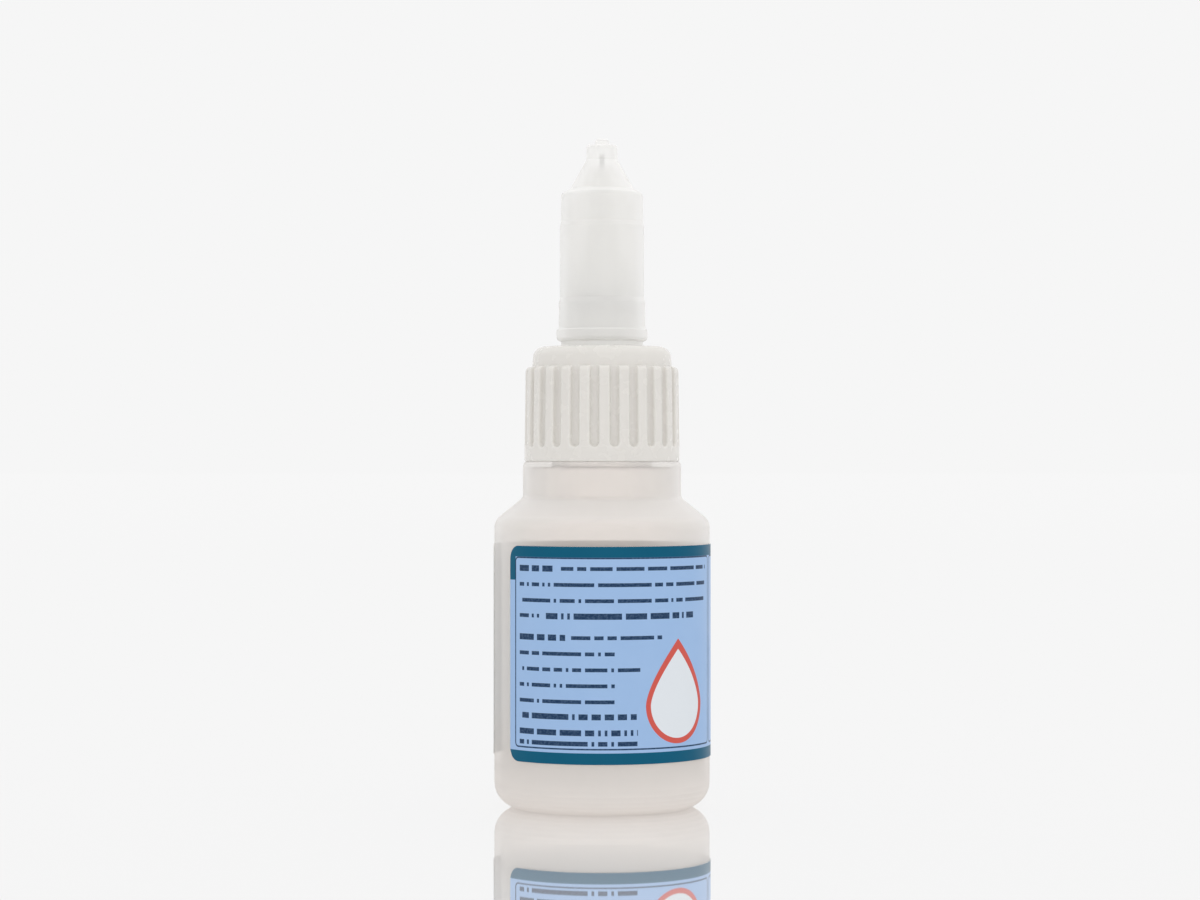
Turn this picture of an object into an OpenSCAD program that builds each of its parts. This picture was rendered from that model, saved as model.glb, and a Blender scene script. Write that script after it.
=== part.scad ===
// Dispensing bottle for instant glue: a blow-moulded bottle with a wrap label, a nozzle that a
// fluted screw collar holds on the neck, and a long cap with a clearing pin.
// The table is z = 0, the bottle's axis is z, and the front faces -y. All lengths are millimetres.

/* [Bottle] */
// Outer diameter of the body
body_d = 29; // [24:0.5:36]
// Height of the sharp edge between the straight side and the shoulder
body_h = 38.5; // [34:0.5:60]
// Wall thickness
bottle_wall = 0.9; // [0.6:0.1:1.3]
// Radius of the rounded edge at the base
base_corner_r = 3.4; // [2.5:0.1:4.5]
// Width of the flat ring that the bottle stands on
foot_w = 1.6; // [1:0.1:2.5]
// Rise of the hollow underside
pushup_h = 0.9; // [0.5:0.1:1.5]
// Height of the sloping shoulder
shoulder_h = 3.1; // [2.5:0.1:6]
// Rounding between the straight side and the shoulder
shoulder_r = 2; // [1:0.1:3]
// Rounding between the shoulder and the neck
neck_fillet_r = 1; // [0.5:0.1:1.5]
// Outer diameter of the plain neck
neck_d = 21.3; // [20.5:0.1:23]
// Height of the plain neck
neck_h = 5; // [3.5:0.1:8]
// Rounding of the neck's top edge
neck_edge_r = 0.8; // [0.2:0.1:1.2]

/* [Threaded finish] */
// Outside diameter over the thread
thread_d = 16.9; // [16:0.1:18]
// Depth of the thread
thread_depth = 0.55; // [0.3:0.05:0.8]
// Length of the threaded stretch
thread_h = 8.4; // [6:0.1:10]
// Plain stretch between the neck and the thread
thread_low_gap = 2; // [1:0.1:3]
// Height of the finish above the neck
finish_h = 13; // [12:0.1:18]
// Wall of the finish between the root of the thread and the mouth
finish_wall = 1.2; // [0.8:0.05:1.6]

/* [Glue] */
// Distance from the shoulder edge down to the liquid
glue_headspace = 5.5; // [2:0.1:20]

/* [Label] */
// Height of the lower edge above the table
label_low = 7; // [5:0.1:12]
// Distance from the shoulder edge down to the upper edge
label_top_gap = 3.1; // [2.5:0.1:8]
// Thickness of the label
label_t = 0.1; // [0.08:0.01:0.2]
// Turn of the label's left end from the front
label_start_deg = -56; // [-90:1:0]
// Turn that the label covers
label_sweep_deg = 330; // [180:1:345]
// Radius of the label's corners
label_corner_r = 1.8; // [1:0.1:4]

/* [Collar] */
// Wall behind the flutes
collar_wall = 1; // [0.7:0.05:1.3]
// Depth of the flutes
flute_depth = 0.85; // [0.5:0.05:1]
// Radius of a flute
flute_r = 0.66; // [0.5:0.01:0.8]
// Number of flutes
flute_count = 24; // [16:1:28]
// Turn of the first flute from the bottle's right
flute_start_deg = -5.7; // [-9:0.1:9]
// Height of the plain band below the flutes
band_h = 1.75; // [1:0.05:3]
// Rounding of the ribs' top ends
rib_top_r = 0.7; // [0.3:0.05:0.8]
// Step from the bottom of the flutes in to the crown
crown_step = 0.2; // [0.1:0.05:0.4]
// Height of the plain crown above the flutes
crown_h = 2.7; // [2:0.1:4]
// Rounding of the crown's top edge
crown_r = 1.5; // [0.4:0.1:1.8]
// Thickness of the deck that clamps the nozzle
deck_t = 1.2; // [0.8:0.05:2]
// Pull-in of the moulded sides from the bottom to the top
draft = 0.17; // [0:0.01:0.3]

/* [Nozzle] */
// Thickness of the flange on the bottle's rim
flange_t = 1; // [0.7:0.05:1.6]
// Diameter of the boss in the collar's deck
boss_d = 11; // [10.4:0.1:12]
// Height of the boss above the deck
boss_proud = 0.7; // [0.5:0.05:1.5]
// Depth of the plug in the mouth
plug_depth = 4; // [3:0.1:6]
// Wall of the plug
plug_wall = 1.05; // [0.8:0.05:1.4]
// Slope of the funnel between the plug and the stem
funnel_deg = 47; // [40:1:60]
// Outside diameter over the cap's thread on the stem
stem_d = 9.5; // [9:0.1:9.8]
// Depth of the thread on the stem
stem_thread_depth = 0.45; // [0.3:0.05:0.6]
// Length of the threaded stretch of the stem
stem_thread_h = 6.8; // [4:0.1:9]
// Plain stretch below and above that thread
stem_plain_h = 0.7; // [0.4:0.05:1.5]
// Wall of the stem
stem_wall = 1.45; // [1.1:0.05:1.8]
// Height of the cone between the stem and the tip
cone_h = 3.9; // [3:0.1:6]
// Diameter of the tip at its root
tip_root_d = 4.6; // [3.6:0.1:5]
// Diameter of the tip at its end
tip_end_d = 2.3; // [2:0.05:2.6]
// Length of the tip
tip_h = 11; // [8:0.1:16]
// Diameter of the glue channel where the tip starts
channel_root_d = 1.9; // [1.5:0.05:2.2]
// Diameter of the glue channel at the end of the tip
channel_end_d = 1; // [0.9:0.05:1.2]

/* [Cap] */
// Wall of the cap
cap_wall = 0.97; // [0.7:0.01:1.3]
// Height of the bead round the mouth
bead_h = 1.6; // [1:0.1:2.5]
// Amount that the bead stands out
bead_proud = 0.32; // [0.2:0.02:0.6]
// Rounding of the bead's lower edge
bead_low_r = 0.6; // [0.3:0.05:0.8]
// Height of the skirt, up to the first step
skirt_h = 5.2; // [4:0.1:8]
// Height of the smaller stretch below the cap's shoulder
cap_upper_h = 4.4; // [2:0.1:7]
// Width of each small step in the side
cap_step = 0.15; // [0.05:0.01:0.25]
// Height over which each small step runs out
cap_step_h = 0.6; // [0.2:0.05:1]
// Width of the ledge at the foot of the cap's cone
cap_ledge_w = 1.2; // [0.8:0.05:1.8]
// Rise of the ledge
cap_ledge_h = 0.6; // [0.3:0.05:1]
// Height of the cap's cone
cap_cone_h = 3.95; // [3:0.05:6]
// Diameter of the cap's tip
cap_tip_d = 4.2; // [3.8:0.1:5]
// Height of the cap's tip
cap_tip_h = 2; // [1.6:0.1:4]
// Diameter of the nub on the cap's tip
nub_d = 1.9; // [1.2:0.1:2.4]
// Height of the nub
nub_h = 0.8; // [0.4:0.05:1.2]

/* [Clearing pin] */
// Diameter of the wire
pin_d = 0.7; // [0.5:0.05:0.8]
// Depth that the pin is set into the cap's tip
pin_set_h = 1.7; // [1.2:0.1:2.2]
// Length of pin inside the glue channel
pin_reach = 5; // [2:0.1:8]

/* [Fits] */
// Radial gap between the collar and the thread
thread_gap = 0.15; // [0.1:0.01:0.25]
// Radial gap between the nozzle's plug and the mouth
plug_gap = 0.05; // [0.02:0.01:0.1]
// Radial gap between the nozzle's boss and the deck
boss_gap = 0.06; // [0.02:0.01:0.1]
// Radial gap between the cap and the stem's thread
cap_gap = 0.1; // [0.05:0.01:0.2]
// Gap between pieces that sit on each other
seat_gap = 0.05; // [0.02:0.01:0.1]
// Gap between the collar and the neck's ledge
collar_gap = 0.1; // [0.05:0.05:0.6]
// Gap between the glue or the label and the bottle's wall
skin_gap = 0.03; // [0.02:0.01:0.08]
// Radial gap between the pin and its hole
pin_gap = 0.02; // [0.01:0.01:0.04]
// Room above the end of the tip inside the cap
tip_room = 0.4; // [0.2:0.05:1]

/* [Hidden] */
$fn = 96;
// Segments in each rounded corner and in each dome
corner_steps = 6;
dome_steps = 10;
// Most of an edge that a rounded corner may use, beside a sharp corner and beside a rounded one
lone_corner_share = 0.98;
paired_corner_share = 0.49;
// Length by which cutters pass the faces that they cut
overrun = 1;
// Small roundings and chamfers of the mouldings
soft_edge_r = 0.25;
thread_chamfer = 0.4;
plug_chamfer = 0.35;
pin_point_h = 0.5;

// Bottle
body_r = body_d / 2;
neck_r = neck_d / 2;
thread_r = thread_d / 2;
finish_r = thread_r - thread_depth;
mouth_d = (finish_r - finish_wall) * 2;
mouth_r = mouth_d / 2;
foot_out_r = body_r - base_corner_r;
foot_in_r = foot_out_r - foot_w;
neck_z = body_h + shoulder_h;
ledge_z = neck_z + neck_h;
rim_z = ledge_z + finish_h;
thread_low_z = ledge_z + thread_low_gap;
thread_top_z = thread_low_z + thread_h;
// Slope of the shoulder, and the drop of its inner face for an even wall
shoulder_deg = atan2(shoulder_h, body_r - neck_r);
shoulder_drop = bottle_wall * tan((90 - shoulder_deg) / 2);
inside_r = body_r - bottle_wall;
glue_z = body_h - glue_headspace;

// Label
label_in_r = body_r + skin_gap;
label_h = body_h - label_top_gap - label_low;
front_deg = -90;

// Collar
collar_bore_r = thread_r + thread_gap;
collar_r = collar_bore_r + collar_wall + flute_depth;
collar_top_r = collar_r - draft;
crown_low_r = collar_r - flute_depth - crown_step;
crown_top_r = crown_low_r - draft;
collar_z = ledge_z + collar_gap;

// Nozzle
flange_z = rim_z + seat_gap;
flange_top_z = flange_z + flange_t;
flange_r = collar_bore_r - seat_gap;
deck_low_z = flange_top_z + seat_gap;
deck_z = deck_low_z + deck_t;
boss_r = boss_d / 2;
boss_z = deck_z + boss_proud;
deck_hole_r = boss_r + boss_gap;
plug_r = mouth_r - plug_gap;
plug_in_r = plug_r - plug_wall;
plug_z = flange_z - plug_depth;
stem_thread_r = stem_d / 2;
stem_r = stem_thread_r - stem_thread_depth;
stem_in_r = stem_r - stem_wall;
funnel_z = boss_z - (plug_in_r - stem_in_r) * tan(funnel_deg);
stem_thread_low_z = boss_z + stem_plain_h;
stem_thread_top_z = stem_thread_low_z + stem_thread_h;
stem_z = stem_thread_top_z + stem_plain_h;
tip_root_z = stem_z + cone_h;
tip_z = tip_root_z + tip_h;
tip_root_r = tip_root_d / 2;
tip_end_r = tip_end_d / 2;
channel_root_r = channel_root_d / 2;
channel_end_r = channel_end_d / 2;

// Collar flutes
rib_top_z = deck_z - crown_h;
flute_low_z = collar_z + band_h + flute_r;
flute_centre_r = collar_r - flute_depth + flute_r;

// Cap
cap_z = boss_z + seat_gap;
cap_bore_r = stem_thread_r + cap_gap;
cap_bore_z = stem_z + tip_room;
skirt_r = cap_bore_r + cap_wall;
barrel_r = skirt_r - cap_step;
upper_r = barrel_r - cap_step;
bead_r = skirt_r + bead_proud;
cap_tip_r = cap_tip_d / 2;
socket_r = tip_end_r + tip_room;
socket_z = tip_z + tip_room;
cap_tip_low_z = socket_z + cap_wall;
cap_tip_z = cap_tip_low_z + cap_tip_h;
cap_cone_z = cap_tip_low_z - cap_cone_h;
cap_cone_r = upper_r - cap_ledge_w;
cap_shoulder_z = cap_cone_z - cap_ledge_h;
cap_upper_z = cap_shoulder_z - cap_upper_h;
cap_inner_shoulder_z = cap_shoulder_z - cap_wall;
cap_inner_cone_r = cap_cone_r - cap_wall;
nub_r = nub_d / 2;

// Clearing pin
pin_r = pin_d / 2;
pin_hole_r = pin_r + pin_gap;
pin_top_z = socket_z + pin_set_h;
pin_low_z = tip_z - pin_reach;

// Unit vector along v
function unit(v) = v / norm(v);

// Angle a brought between -180 and 180 degrees
function half_turn(a) = a - 360 * round(a / 360);

// Points of a circular arc about centre c, through sweep degrees from angle start
function arc(c, r, start, sweep, steps) =
    [for (i = [0:steps]) c + r * [cos(start + sweep * i / steps), sin(start + sweep * i / steps)]];

// Corners are [x, y, rounding]: the plain point of a corner
function point(c) = [c.x, c.y];

// Length that the rounding of corner p may use of its edge to the corner next to it
function edge_room(p, next) =
    norm(point(next) - point(p)) * (next[2] == 0 ? lone_corner_share : paired_corner_share);

// Corner p between the corners a and b, rounded as it says or as far as its edges leave room
function corner(a, p, b) =
    p[2] == 0 ? [point(p)] :
    let (
        u = unit(point(a) - point(p)),
        v = unit(point(b) - point(p)),
        half = acos(u * v) / 2,
        reach = min(p[2] / tan(half), edge_room(p, a), edge_room(p, b)),
        r = reach * tan(half),
        c = point(p) + unit(u + v) * r / sin(half),
        s = point(p) + u * reach - c,
        e = point(p) + v * reach - c,
        start = atan2(s.y, s.x),
        sweep = half_turn(atan2(e.y, e.x) - start)
    )
    arc(c, r, start, sweep, corner_steps);

// Closed outline through those corners
function outline(corners) =
    let (n = len(corners))
    [for (i = [0:n - 1]) each corner(corners[(i + n - 1) % n], corners[i], corners[(i + 1) % n])];

// Shallow dome from the axis at height top down to radius r at height low, as outline corners
function dome(r, low, top) =
    let (rise = top - low, big_r = (r * r + rise * rise) / (2 * rise), half = asin(r / big_r))
    [for (p = arc([0, top - big_r], big_r, 90, -half, dome_steps)) [p.x, p.y, 0]];

// List v from its end to its start
function backwards(v) = [for (i = [len(v) - 1:-1:0]) v[i]];

// Solid of revolution with the outline through those corners
module turned(corners) {
    rotate_extrude() polygon(outline(corners));
}

module bottle() {
    outside = [
        each dome(foot_in_r, 0, pushup_h),
        [body_r, 0, base_corner_r],
        [body_r, body_h, shoulder_r],
        [neck_r, neck_z, neck_fillet_r],
        [neck_r, ledge_z, neck_edge_r],
        [finish_r, ledge_z, soft_edge_r],
        [finish_r, thread_low_z, 0],
        [thread_r, thread_low_z + thread_chamfer, 0],
        [thread_r, thread_top_z - thread_chamfer, 0],
        [finish_r, thread_top_z, 0],
        [finish_r, rim_z, soft_edge_r]
    ];
    inside = [
        [mouth_r, rim_z, soft_edge_r],
        [mouth_r, ledge_z - bottle_wall, soft_edge_r],
        [neck_r - bottle_wall, ledge_z - bottle_wall, neck_edge_r],
        [neck_r - bottle_wall, neck_z - shoulder_drop, neck_fillet_r],
        [inside_r, body_h - shoulder_drop, shoulder_r],
        [inside_r, bottle_wall, base_corner_r - bottle_wall],
        each backwards(dome(foot_in_r, bottle_wall, bottle_wall + pushup_h))
    ];
    color([0.93, 0.92, 0.89, 0.7]) turned(concat(outside, inside));
}

module glue() {
    low_z = bottle_wall + skin_gap;
    color([0.96, 0.94, 0.88, 0.5]) turned([
        each dome(foot_in_r, low_z, low_z + pushup_h),
        [inside_r - skin_gap, low_z, base_corner_r - bottle_wall],
        [inside_r - skin_gap, glue_z, 0],
        [0, glue_z, 0]
    ]);
}

// What a rounded corner takes off the label, at its start and its lower edge
module label_corner() {
    bow = arc([label_corner_r, label_corner_r], label_corner_r, 180, 90, corner_steps);
    bow_end = 2 * bow[corner_steps] - bow[corner_steps - 1];
    inner_bow = [for (i = [1:corner_steps - 1]) bow[i]];
    translate([label_in_r - overrun, 0, 0]) rotate([90, 0, 90])
        linear_extrude(label_t + overrun * 2)
        polygon([[-overrun, -overrun], 2 * bow[0] - bow[1], each inner_bow, bow_end]);
}

module label() {
    start_deg = front_deg + label_start_deg;
    color([0.55, 0.68, 0.86]) difference() {
        rotate([0, 0, start_deg]) rotate_extrude(angle = label_sweep_deg)
            translate([label_in_r, label_low]) square([label_t, label_h]);
        for (far = [0, 1], upper = [0, 1])
            rotate([0, 0, start_deg + far * label_sweep_deg])
                translate([0, 0, label_low + upper * label_h])
                mirror([0, far, 0]) mirror([0, 0, upper]) label_corner();
    }
}

module nozzle() {
    outside = [
        [plug_r - plug_chamfer, plug_z, 0],
        [plug_r, plug_z + plug_chamfer * 2, 0],
        [plug_r, flange_z, 0],
        [flange_r, flange_z, 0],
        [flange_r, flange_top_z, soft_edge_r],
        [boss_r, flange_top_z, 0],
        [boss_r, boss_z, soft_edge_r],
        [stem_r, boss_z, soft_edge_r],
        [stem_r, stem_thread_low_z, 0],
        [stem_thread_r, stem_thread_low_z + thread_chamfer, 0],
        [stem_thread_r, stem_thread_top_z - thread_chamfer, 0],
        [stem_r, stem_thread_top_z, 0],
        [stem_r, stem_z, soft_edge_r],
        [tip_root_r, tip_root_z, tip_root_r],
        [tip_end_r, tip_z, soft_edge_r]
    ];
    inside = [
        [channel_end_r, tip_z, 0],
        [channel_root_r, tip_root_z, 0],
        [stem_in_r, stem_z - stem_wall, 0],
        [stem_in_r, boss_z, 0],
        [plug_in_r, funnel_z, 0],
        [plug_in_r, plug_z, 0]
    ];
    color([0.94, 0.93, 0.9]) turned(concat(outside, inside));
}

// Rod with a round lower end that cuts one flute
module flute_cutter() {
    rotate_extrude() {
        intersection() {
            circle(r = flute_r);
            translate([0, -flute_r]) square([flute_r, flute_r]);
        }
        square([flute_r, deck_z + overrun - flute_low_z]);
    }
}

module collar() {
    color([0.95, 0.95, 0.93]) difference() {
        turned([
            [collar_bore_r, collar_z, soft_edge_r],
            [collar_r, collar_z, soft_edge_r],
            [collar_top_r, rib_top_z, rib_top_r],
            [crown_low_r, rib_top_z, 0],
            [crown_top_r, deck_z, crown_r],
            [deck_hole_r, deck_z, 0],
            [deck_hole_r, deck_low_z, 0],
            [collar_bore_r, deck_low_z, 0]
        ]);
        for (i = [0:flute_count - 1])
            rotate([0, 0, flute_start_deg + i * 360 / flute_count])
                translate([flute_centre_r, 0, flute_low_z]) flute_cutter();
    }
}

module cap() {
    outside = [
        [cap_bore_r, cap_z, soft_edge_r],
        [bead_r, cap_z, bead_low_r],
        [bead_r, cap_z + bead_h, bead_proud],
        [skirt_r, cap_z + bead_h, bead_proud],
        [skirt_r, cap_z + skirt_h, 0],
        [barrel_r, cap_z + skirt_h + cap_step_h, 0],
        [barrel_r, cap_upper_z, 0],
        [upper_r, cap_upper_z + cap_step_h, 0],
        [upper_r, cap_shoulder_z, cap_ledge_w / 2],
        [cap_cone_r, cap_cone_z, cap_step],
        [cap_tip_r, cap_tip_low_z, cap_step],
        [cap_tip_r, cap_tip_z, nub_h / 2],
        [nub_r, cap_tip_z, cap_step],
        [nub_r, cap_tip_z + nub_h, nub_r],
        [0, cap_tip_z + nub_h, 0]
    ];
    inside = [
        [0, pin_top_z, 0],
        [pin_hole_r, pin_top_z, 0],
        [pin_hole_r, socket_z, 0],
        [socket_r, socket_z, 0],
        [cap_inner_cone_r, cap_inner_shoulder_z + cap_ledge_h, 0],
        [upper_r - cap_wall, cap_inner_shoulder_z, 0],
        [upper_r - cap_wall, cap_upper_z, 0],
        [barrel_r - cap_wall, cap_upper_z - cap_step, 0],
        [barrel_r - cap_wall, cap_bore_z + cap_step, 0],
        [cap_bore_r, cap_bore_z, 0]
    ];
    color([0.93, 0.92, 0.9, 0.7]) turned(concat(outside, inside));
}

module clearing_pin() {
    color("silver") turned([
        [0, pin_low_z, 0],
        [pin_r, pin_low_z + pin_point_h, 0],
        [pin_r, pin_top_z - seat_gap, 0],
        [0, pin_top_z - seat_gap, 0]
    ]);
}

bottle();
glue();
label();
nozzle();
collar();
cap();
clearing_pin();
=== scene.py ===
"""Looks of a small bottle for instant glue: bottle, fill, label, nozzle, collar, cap and pin.

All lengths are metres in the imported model's frame. The table is z = 0, the bottle's axis is z, and
the photographed face of the label looks along -y.
"""

import logging
import math
from abc import ABC, abstractmethod
from dataclasses import dataclass, field
from enum import Enum

import bmesh
import bpy
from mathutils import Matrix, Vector


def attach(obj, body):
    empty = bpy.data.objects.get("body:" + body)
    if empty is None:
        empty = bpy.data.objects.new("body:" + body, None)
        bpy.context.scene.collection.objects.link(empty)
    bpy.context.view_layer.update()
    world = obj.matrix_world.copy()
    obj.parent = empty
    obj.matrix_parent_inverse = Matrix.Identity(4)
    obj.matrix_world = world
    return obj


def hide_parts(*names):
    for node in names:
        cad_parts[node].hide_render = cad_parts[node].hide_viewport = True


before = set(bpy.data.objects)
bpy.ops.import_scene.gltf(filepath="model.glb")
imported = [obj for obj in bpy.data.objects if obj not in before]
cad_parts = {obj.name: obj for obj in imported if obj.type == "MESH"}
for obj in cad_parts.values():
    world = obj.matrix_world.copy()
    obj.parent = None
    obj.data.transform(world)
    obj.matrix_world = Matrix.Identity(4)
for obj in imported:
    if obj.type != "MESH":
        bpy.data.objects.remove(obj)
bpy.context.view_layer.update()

log = logging.getLogger("glue_bottle")

Socket = bpy.types.NodeSocket
Mesh = bpy.types.Mesh
Piece = bpy.types.Object
Shape = bmesh.types.BMesh
Vert = bmesh.types.BMVert
Point = tuple[float, float]
Span = tuple[float, float]
Corner = tuple[float, float, float]
Colour = tuple[float, float, float]
Wiring = dict[str | int, object]

MM = 0.001
FULL_TURN = 2 * math.pi
FRONT = -math.pi / 2
STEM_START = FRONT - math.radians(46.7)
TURN_SEGMENTS = 160
ARC_STEPS = 7
DOME_STEPS = 12
HELIX_STEPS = 72
HOLD = 0.12 * MM
AXIS_R = 1e-7
MERGE_DISTANCE = 1e-8
SHARP_ANGLE = math.radians(38)
NOISE_SPAN = (0.3, 0.7)
FACING_SPAN = (0.05, 0.75)
PLASTIC_IOR = 1.5
WHITE = (1, 1, 1, 1)
MIX_SHARE, MIX_FIRST, MIX_SECOND, MIX_RESULT = 0, 6, 7, 2


class Body(Enum):
    """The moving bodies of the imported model."""

    BOTTLE = "bottle"
    NOZZLE = "nozzle"
    COLLAR = "collar"
    CAP = "cap"


class Slot(Enum):
    """The record's material slots."""

    BOTTLE = "bottle_plastic"
    GLUE = "glue_liquid"
    LABEL = "label_film"
    NOZZLE = "nozzle_plastic"
    COLLAR = "collar_plastic"
    CAP = "cap_plastic"
    PIN = "pin_steel"


class ThreadSide(Enum):
    """Whether a thread stands out of a wall or into a bore."""

    OUTSIDE = -1
    INSIDE = 1


def display(red: int, green: int, blue: int) -> Colour:
    """Turn a display colour, 0 to 255 a channel, into the linear colour that shaders use."""
    shares = (red / 255, green / 255, blue / 255)
    return tuple(s / 12.92 if s <= 0.04045 else ((s + 0.055) / 1.055) ** 2.4 for s in shares)


def polar(radius: float, turn: float, height: float) -> Corner:
    """Return the place at a radius, a turn about the axis and a height."""
    return radius * math.cos(turn), radius * math.sin(turn), height


class NodeBench:
    """Places and wires the nodes of one tree."""

    def __init__(self, tree: bpy.types.NodeTree) -> None:
        """Take a tree and clear it."""
        self.tree = tree
        tree.nodes.clear()

    def add(self, kind: str, inputs: Wiring | None = None, **settings: object) -> bpy.types.Node:
        """Add a node.

        Args:
            kind: The node's type.
            inputs: A socket to wire or a value to set, by input name or place.
            **settings: Properties of the node itself.

        Returns:
            The new node.
        """
        node = self.tree.nodes.new(kind)
        for key, value in settings.items():
            setattr(node, key, value)
        for key, value in (inputs or {}).items():
            if isinstance(value, Socket):
                self.tree.links.new(value, node.inputs[key])
            else:
                node.inputs[key].default_value = value
        return node

    def out(self, kind: str, inputs: Wiring | None = None, output: str | int = 0,
            **settings: object) -> Socket:
        """Add a node as add does, and return one of its outputs by name or place."""
        return self.add(kind, inputs, **settings).outputs[output]

    def math(self, operation: str, *values: Socket | float) -> Socket:
        """Add one sum of sockets or numbers, in the sum's order."""
        return self.out("ShaderNodeMath", dict(enumerate(values)), operation=operation)


class ShaderBench(NodeBench):
    """Places the nodes of a finish, and ends them in one surface."""

    def place(self) -> Socket:
        """Return the position on the piece, in metres."""
        return self.out("ShaderNodeTexCoord", output="Object")

    def sheet_place(self, width: float, height: float) -> Socket:
        """Return the position, in metres, on a flat sheet that its UV map covers once."""
        spot = self.out("ShaderNodeTexCoord", output="UV")
        return self.out("ShaderNodeMapping", {"Vector": spot, "Scale": (width, height, 1)})

    def noise(self, place: Socket, size: float, detail: float = 2,
              stretch: Corner = (1, 1, 1)) -> Socket:
        """Add noise of about 0 to 1 in clouds of a size, with a share of its frequency by axis."""
        spot = self.out("ShaderNodeMapping", {"Vector": place, "Scale": stretch})
        return self.out("ShaderNodeTexNoise",
                        {"Vector": spot, "Scale": 1 / size, "Detail": detail}, "Fac")

    def ramp(self, value: Socket, start: float, end: float, low: float = 0.0,
             high: float = 1.0) -> Socket:
        """Map a value from start and end to low and high, held at its ends."""
        inputs = {"Value": value, "From Min": start, "From Max": end, "To Min": low, "To Max": high}
        return self.out("ShaderNodeMapRange", inputs, "Result")

    def mix(self, share: Socket | float, first: Socket | Colour,
            second: Socket | Colour) -> Socket:
        """Mix two colours by the share of the second one."""
        tones = [t if isinstance(t, Socket) else (*t, 1) for t in (first, second)]
        return self.out("ShaderNodeMix", {
            MIX_SHARE: share, MIX_FIRST: tones[0], MIX_SECOND: tones[1],
        }, MIX_RESULT, data_type="RGBA")

    def bump(self, height: Socket, depth: float) -> Socket:
        """Turn a pattern into a normal, where a value of 1 stands for the depth."""
        return self.out("ShaderNodeBump", {"Height": height, "Distance": depth})

    def surface(self, inputs: Wiring, cover: Span = (1, 1), through: Colour = (1, 1, 1),
                thick: Socket | float = 0.0) -> None:
        """End the finish in a surface.

        Args:
            inputs: Inputs of the skin's shader.
            cover: Share that the skin covers where it faces the eye and where it turns away.
            through: Colour that the rest lets through.
            thick: Least share that the skin covers, where the wall is thick.
        """
        skin = self.out("ShaderNodeBsdfPrincipled", inputs)
        if cover[0] < 1:
            turned = self.out("ShaderNodeLayerWeight", {"Blend": 0.5}, "Facing")
            clear = self.out("ShaderNodeBsdfTransparent", {"Color": (*through, 1)})
            share = self.math("MAXIMUM", self.ramp(turned, *FACING_SPAN, *cover), thick)
            skin = self.out("ShaderNodeMixShader", {0: share, 1: clear, 2: skin})
        self.add("ShaderNodeOutputMaterial", {"Surface": skin})


class Finish(ABC):
    """A finish that is made into a material on its first use."""

    name: str

    def material(self) -> bpy.types.Material:
        """Find the finish's material, or make it.

        Returns:
            The material.
        """
        made = bpy.data.materials.get(self.name)
        if made is None:
            made = bpy.data.materials.new(self.name)
            made.use_nodes = True
            self.paint(ShaderBench(made.node_tree))
        return made

    @abstractmethod
    def paint(self, bench: ShaderBench) -> None:
        """Place the nodes of the finish on a bench."""


@dataclass(frozen=True)
class MilkyPlastic(Finish):
    """Unfilled plastic that lets light through, with a fine moulded skin."""

    name: str
    tint: Colour
    deep_tint: Colour
    roughness: Span
    scatter: float
    scatter_depth: float = 0.8 * MM
    cover: Span = (1, 1)
    through: Colour = (1, 1, 1)
    gloss: float = 0.25
    foot_cover: float = 0.0
    foot_h: float = 16 * MM
    # Colour mixed in towards the foot: painted warm glow of light through the base and painted shade
    # on its lower edge.
    foot_painted_glow_tint: Colour = (0.93, 0.86, 0.81)
    cloud: float = 6 * MM
    grain: float = 0.5 * MM
    grain_depth: float = 0.004 * MM
    parting_depth: float = 0.0
    parting_w: float = 0.16 * MM

    def paint(self, bench: ShaderBench) -> None:
        """Place clouded colour, uneven gloss, a fine skin with the mould's parting line, and a
        painted warm glow and shade towards the foot.

        Args:
            bench: Bench of the finish's own tree.
        """
        place = bench.place()
        cloud = bench.noise(place, self.cloud, 3)
        gloss = bench.noise(place, self.cloud / 3)
        normal = bench.bump(bench.noise(place, self.grain), self.grain_depth)
        if self.parting_depth:
            across = bench.out("ShaderNodeSeparateXYZ", {"Vector": place}, "Y")
            ridge = bench.ramp(bench.math("ABSOLUTE", across), 0.0, self.parting_w, 1.0, 0.0)
            normal = bench.out("ShaderNodeBump", {
                "Height": ridge, "Distance": self.parting_depth, "Normal": normal})
        colour = bench.mix(cloud, self.tint, self.deep_tint)
        thick = 0.0
        if self.foot_cover:
            rise = bench.out("ShaderNodeSeparateXYZ", {"Vector": place}, "Z")
            thick = bench.ramp(rise, 0.0, self.foot_h, self.foot_cover, 0.0)
            # The warmer, darker colour towards the foot is painted glow and painted shade; only the
            # higher cover there stands for the thicker wall.
            colour = bench.mix(thick, colour, self.foot_painted_glow_tint)
        bench.surface({
            "Base Color": colour,
            "Roughness": bench.ramp(gloss, *NOISE_SPAN, *self.roughness),
            "IOR": PLASTIC_IOR,
            "Specular IOR Level": self.gloss,
            "Subsurface Weight": self.scatter,
            "Subsurface Radius": (1, 1, 1),
            "Subsurface Scale": self.scatter_depth,
            "Normal": normal,
        }, self.cover, self.through, thick)


@dataclass(frozen=True)
class PatternFinish(Finish):
    """A finish whose colour, gloss and skin follow one noise."""

    name: str
    tint: Colour
    deep_tint: Colour
    roughness: Span
    size: float
    depth: float
    detail: float = 2
    stretch: Corner = (1, 1, 1)
    span: Span = NOISE_SPAN
    metallic: float = 0.0
    ior: float = PLASTIC_IOR
    cover: Span = (1, 1)
    through: Colour = (1, 1, 1)

    def paint(self, bench: ShaderBench) -> None:
        """Place the noise in the colour, the gloss and the skin.

        Args:
            bench: Bench of the finish's own tree.
        """
        pattern = bench.noise(bench.place(), self.size, self.detail, self.stretch)
        bench.surface({
            "Base Color": bench.mix(pattern, self.tint, self.deep_tint),
            "Metallic": self.metallic,
            "Roughness": bench.ramp(pattern, *self.span, *self.roughness),
            "IOR": self.ior,
            "Normal": bench.bump(pattern, self.depth),
        }, self.cover, self.through)


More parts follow.
